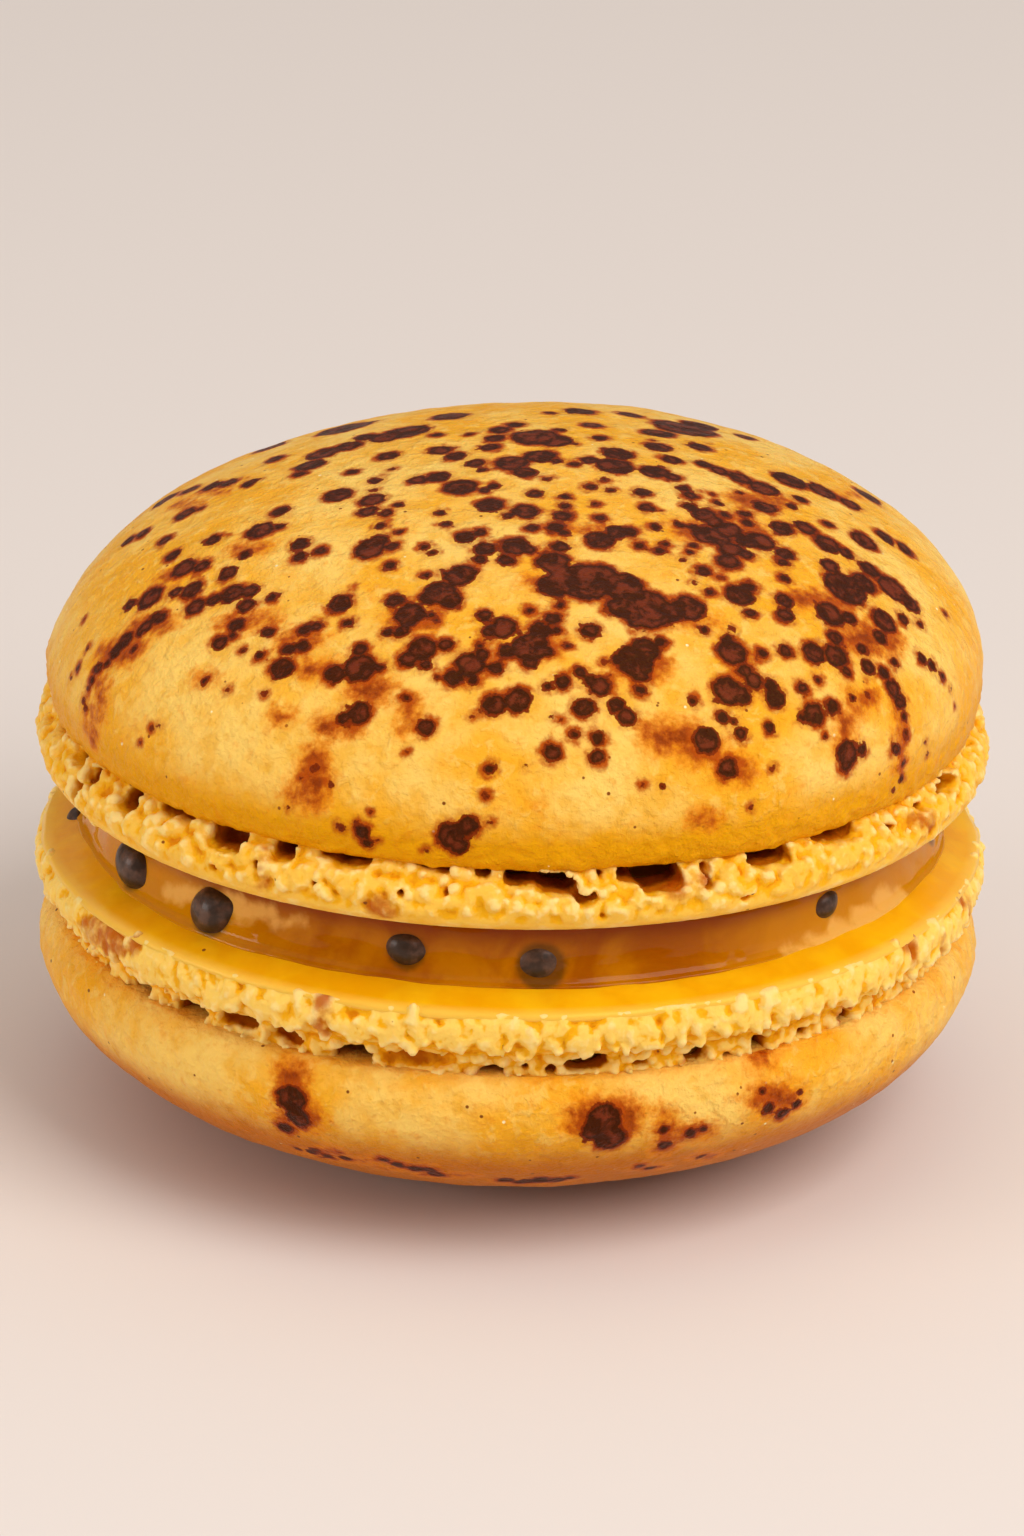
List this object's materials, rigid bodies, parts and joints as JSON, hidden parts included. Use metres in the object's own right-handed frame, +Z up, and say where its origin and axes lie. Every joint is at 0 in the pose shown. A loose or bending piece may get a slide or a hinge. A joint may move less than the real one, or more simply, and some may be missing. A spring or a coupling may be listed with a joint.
{
  "type": "macaron",
  "caption": "Round sandwich biscuit of domed almond meringue shells with ruffled feet, stuck together by a disc of fruit jelly with seeds in its edge.",
  "frame": {"origin": "centre of the flat spot under the lower shell, on the surface that it rests on", "axes": "+Z up through both shells; -Y is the side that faces the camera in the picture, and +X is to its right"},
  "size_m": [0.0483, 0.0486, 0.0345],
  "materials": {
    "shell": "baked almond meringue, fine grain with a soft sheen, spattered with dark brown",
    "jelly": "wet translucent amber jelly with dark seeds in it"
  },
  "bodies": {
    "root": {"shell_lower": "shell", "jelly_filling": "jelly", "shell_upper": "shell"}
  },
  "joints": []
}
